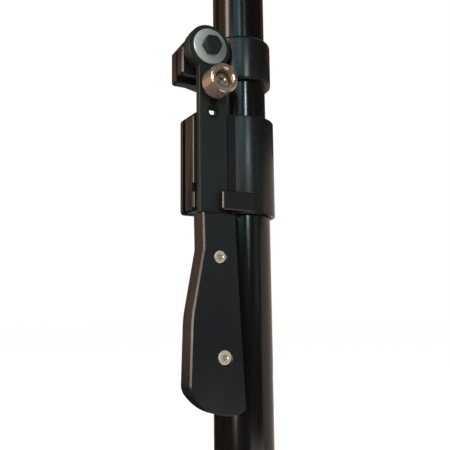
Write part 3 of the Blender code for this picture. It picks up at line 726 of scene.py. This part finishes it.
def make_keyhole_shade_lining(x, keyhole):
    """Dark lining of painted shade in the keyhole and its flared mouth, open towards the slot."""
    front = LEVER.y
    back = LEVER_HIGH.y - GROOVE_DEPTH - 0.05
    flare = KEYHOLE_MOUTH_R - KEYHOLE_R
    throat_r = SLOT_HALF + KEYHOLE_SHADE_LINING
    mouth_r = KEYHOLE_MOUTH_R + 0.15
    buried_r = KEYHOLE_R + 0.2
    proud = 0.04
    profile = ((throat_r, back), (throat_r, front + 0.5),
               (KEYHOLE_MOUTH_R - KEYHOLE_SHADE_LINING, front - proud), (mouth_r, front - proud),
               (mouth_r, front + 0.3), (buried_r, front + flare + 0.4), (buried_r, back))
    rim = turned("keyhole_shade_lining", profile, SMALL, (x, keyhole), "Y")
    combine(rim, box("opening", (x - SLOT_HALF, front - FAR, keyhole),
                     (x + SLOT_HALF, front + 3.0, keyhole + 10.0)))
    finish_piece(rim, "lever", "keyhole", "satin_black", "lever_bar")


def grip_outline():
    """The handle's outline: narrow at the top, widest near its rounded lower end."""
    top = GRIP_HIGH.z
    bottom = GRIP.z
    return rounded((
        (-39.4, top, 0.8),
        (-39.0, BASE - 23.5, 10.0),
        (-46.8, BASE - 64.0, 70.0),
        (-48.3, BASE - 106.5, 10.0),
        (-34.9, bottom, 30.0),
        (-18.0, bottom, 12.0),
        (-10.8, BASE - 118.9, 3.4),
        (-13.9, BASE - 65.8, 90.0),
        (-16.9, top, 0.8),
    ), 10)


def make_handle():
    """Two halves round the tang, each with its outer rim chamfered."""
    face = GRIP.y
    back_face = GRIP_BACK_HIGH.y
    front = plate("grip_front_body", grip_outline(), face, GRIP_HIGH.y, 0.0)
    back = plate("grip_back_body", grip_outline(), GRIP_BACK.y, back_face, 0.0)
    soften(front, face, 0.95)
    soften(back, back_face, 0.7)
    clear_r = OUTER_R + 1.0
    for half in (front, back):
        combine(half, turned("relief", ((0, 0), (clear_r, 0), (clear_r, BASE + 20.0),
                                        (0, BASE + 20.0))))
    combine(front, box("groove", (TANG[0] - PLAY, LEVER.y - PLAY, LEVER.z - PLAY),
                       (TANG[1] + PLAY, 0.0, BASE + 10.0)))
    seat = face + GRIP_SEAT_DEPTH
    for centre, head_r in zip(GRIP_SCREWS, GRIP_SCREW_HEADS):
        clear = head_r + GRIP_GAP
        bore(front, centre, ((0, 0), (GRIP_BORE_R, 0), (GRIP_BORE_R, seat), (clear, seat),
                             (clear, face + 0.25), (clear + 1.25, face - FAR),
                             (0, face - FAR)))
        bore(back, centre, ((0, -20.0), (SLEEVE_BORE_R, -20.0),
                            (SLEEVE_BORE_R, back_face - 0.25),
                            (SLEEVE_BORE_R + 1.25, back_face + FAR), (0, back_face + FAR)))
    finish_piece(front, "lever", "grip", "grip", "grip_front")
    finish_piece(back, "lever", "grip", "grip", "grip_back")


def soften(obj, face_y, width):
    """Chamfer the rim of the broad face at y = face_y."""
    mesh_data = bmesh.new()
    mesh_data.from_mesh(obj.data)
    rim = [e for e in mesh_data.edges
           if all(abs(v.co.y - face_y * MM) < 1e-6 for v in e.verts)]
    bmesh.ops.bevel(mesh_data, geom=rim, offset=width * MM, offset_type="OFFSET", segments=1,
                    affect="EDGES")
    mesh_data.to_mesh(obj.data)
    mesh_data.free()
    obj.data.shade_smooth()
    obj.data.set_sharp_from_angle(angle=math.radians(30))


def make_grip_hardware():
    """Screws in the handle's front and their sleeve nuts at its back."""
    for number, head_r in zip((1, 2), GRIP_SCREW_HEADS):
        make_screw("grip_screw_body_{}".format(number), "grip_screw_{}".format(number), 2.5,
                   head_r, 3.0, "lever", "stainless", "stainless")
        ring("grip_nut_body_{}".format(number), "grip_nut_{}".format(number), GRIP_BORE_R, 0.3,
             "lever", "stainless", "stainless", SMALL)


# ---- pieces of the knob ----
def make_knob():
    """Turned knob with a deep counterbore, its washer and its screw."""
    low = KNOB.y
    high = KNOB_HIGH.y
    radius = half_width("knob_sleeve")
    seat = low + KNOB_SEAT_DEPTH
    bore_r = KNOB_BORE_R
    profile = [(KNOB_HOLE_R, high), (radius - 0.5, high), (radius, high - 0.5)]
    profile += arc((radius - KNOB_RIM, low + KNOB_RIM), KNOB_RIM, 0, -90, 6)
    profile += [(bore_r + 0.9, low), (bore_r + 0.25, low + 0.6), (bore_r, low + 1.1),
                (bore_r, seat), (KNOB_HOLE_R, seat)]
    finish_piece(turned("knob_body", profile, LARGE, KNOB_AT, "Y"), "lock_knob", "knob",
                 "stainless", "knob_sleeve")
    ring("knob_washer_body", "knob_washer", KNOB_HOLE_R, 0.3, "lock_knob", "nylon", "nylon")
    make_screw("knob_screw_body", "knob_screw", 2.5, 3.8, 4.0, "lock_knob", "knob",
               "stainless")


def dress_hidden_nodes():
    """CAD nodes that stay as they are get a finished material."""
    looks = {"guide_bush": "nylon", "slide_bush": "nylon", "slide_nut": "dark_steel"}
    for node, look in looks.items():
        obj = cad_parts[node]
        obj.data.materials.clear()
        obj.data.materials.append(MATERIALS[look])


# ---- stage ----
def make_floor():
    """Plain pale paper, far larger than the object."""
    made = bpy.data.materials.new("paper")
    made.use_nodes = True
    shader = made.node_tree.nodes["Principled BSDF"]
    shader.inputs["Base Color"].default_value = (0.99, 0.99, 0.985, 1.0)
    shader.inputs["Roughness"].default_value = 1.0
    shader.inputs["Specular IOR Level"].default_value = 0.0
    size = 60.0
    mesh_data = bmesh.new()
    corners = [mesh_data.verts.new((x * size, y * size, 0.0))
               for x, y in ((-1, -1), (1, -1), (1, 1), (-1, 1))]
    mesh_data.faces.new(corners)
    floor = make_object("floor", mesh_data)
    floor.data.materials.append(made)
    floor.visible_glossy = False


def make_world():
    """White to the camera and on matt surfaces, and a dim warm room in reflections."""
    world = bpy.data.worlds.new("studio")
    bpy.context.scene.world = world
    world.use_nodes = True
    tree = world.node_tree
    white = tree.nodes["Background"]
    white.inputs["Color"].default_value = (1.0, 1.0, 1.0, 1.0)
    white.inputs["Strength"].default_value = 1.0
    room = tree.nodes.new("ShaderNodeBackground")
    room.inputs["Color"].default_value = (0.5, 0.42, 0.37, 1.0)
    room.inputs["Strength"].default_value = 0.045
    path = tree.nodes.new("ShaderNodeLightPath")
    mix = tree.nodes.new("ShaderNodeMixShader")
    tree.links.new(path.outputs["Is Glossy Ray"], mix.inputs["Fac"])
    tree.links.new(white.outputs["Background"], mix.inputs[1])
    tree.links.new(room.outputs["Background"], mix.inputs[2])
    tree.links.new(mix.outputs["Shader"], tree.nodes["World Output"].inputs["Surface"])


LIGHT_DISTANCE = 1.5


def add_light(name, azimuth, elevation, size, power, colour, distance=LIGHT_DISTANCE):
    """Soft rectangular light aimed at the joint. Azimuth 0 is in front, at -Y."""
    data = bpy.data.lights.new(name, "AREA")
    data.shape = "RECTANGLE"
    data.size, data.size_y = size
    data.energy = power
    data.color = colour
    obj = bpy.data.objects.new(name, data)
    bpy.context.scene.collection.objects.link(obj)
    obj.visible_camera = False
    a = math.radians(azimuth)
    e = math.radians(elevation)
    direction = Vector((math.sin(a) * math.cos(e), -math.cos(a) * math.cos(e), math.sin(e)))
    target = Vector((0.0, 0.0, (BASE + 40.0) * MM))
    obj.location = target + direction * distance
    obj.rotation_mode = "QUATERNION"
    obj.rotation_quaternion = direction.to_track_quat("Z", "Y")


def make_lights():
    """Windows at the left, cool fill behind the camera, narrow strips, and warm surroundings."""
    add_light("window", -81.0, 34.0, (0.29, 0.55), 4.7, (1.0, 0.83, 0.72))
    add_light("window_brown", -108.0, 31.0, (0.95, 0.4), 0.55, (1.0, 0.55, 0.3))
    add_light("cool_edge", -25.0, 28.0, (0.14, 0.3), 0.46, (0.6, 0.93, 1.0))
    add_light("low_window", -91.0, 8.0, (0.2, 0.3), 5.0, (1.0, 0.92, 0.85))
    add_light("window_side", -60.0, 6.0, (0.3, 1.0), 14.0, (1.0, 0.84, 0.72))
    add_light("cool_fill", -35.0, 28.5, (0.7, 0.76), 1.9, (0.42, 0.85, 1.0))
    add_light("strip", -3.0, 18.8, (0.055, 0.17), 1.95, (0.8, 1.0, 1.0))
    add_light("long_strip", -3.0, 26.0, (0.04, 1.0), 0.5, (0.8, 0.97, 1.0))
    add_light("front", 30.0, 9.0, (0.5, 0.5), 0.27, (0.72, 0.94, 1.0))
    add_light("warm_right", 97.0, -4.0, (3.57, 1.1), 8.4, (1.0, 0.84, 0.75))
    add_light("warm_back", -150.0, 8.0, (1.2, 0.86), 1.5, (1.0, 0.57, 0.37))
    add_light("amber_back", -168.0, 32.0, (0.8, 0.35), 0.18, (1.0, 0.42, 0.16))
    add_light("amber_right", 112.0, 30.0, (1.0, 0.35), 0.14, (1.0, 0.45, 0.2))
    add_light("under", 20.0, -62.0, (0.25, 0.25), 0.25, (1.0, 0.95, 0.9), 0.33)
    add_light("floor_glow", 148.0, -24.0, (0.7, 0.14), 0.16, (1.0, 0.8, 0.7), 0.6)
    add_light("ceiling", 108.0, 58.0, (0.8, 0.8), 0.8, (1.0, 0.95, 0.9))


# ---- camera, as the photograph was taken ----
CAMERA_DISTANCE = 410.7     # from the pole's axis, level
CAMERA_AZIMUTH = -30.54
CAMERA_DROP = 67.3          # below the lower collar's bottom face
CAMERA_TURN = 1.47          # degrees that the view is turned off the pole's axis, to the left
CAMERA_PITCH = 8.77
CAMERA_ROLL = -0.61
CAMERA_LENS = 50.64


def make_camera():
    """Camera below the joint, at the front left, looking up a little."""
    data = bpy.data.cameras.new("camera")
    data.lens = CAMERA_LENS
    data.sensor_width = 36.0
    data.dof.use_dof = False
    data.clip_start = 0.01
    obj = bpy.data.objects.new("camera", data)
    bpy.context.scene.collection.objects.link(obj)
    a = math.radians(CAMERA_AZIMUTH)
    obj.location = Vector((math.sin(a) * CAMERA_DISTANCE, -math.cos(a) * CAMERA_DISTANCE,
                           BASE - CAMERA_DROP)) * MM
    heading = Matrix.Rotation(a + math.radians(CAMERA_TURN), 4, "Z")
    level = Matrix.Rotation(math.radians(90.0 + CAMERA_PITCH), 4, "X")
    roll = Matrix.Rotation(math.radians(CAMERA_ROLL), 4, "Z")
    obj.rotation_euler = (heading @ level @ roll).to_euler()
    bpy.context.scene.camera = obj


make_outer_pole()
make_lower_collar()
for screw in (1, 2):
    make_screw("clamp_screw_body_{}".format(screw), "lower_clamp_screw_{}".format(screw), 2.0,
               4.2, 4.0, "outer_pole", "dark_steel", "dark_steel", 1.0)
make_upper_collar()
make_pivot()
make_inner_pole()
make_lever_bar()
make_handle()
make_grip_hardware()
make_knob()
dress_hidden_nodes()
make_floor()
make_world()
make_lights()
make_camera()
bpy.context.scene.view_settings.view_transform = "Standard"
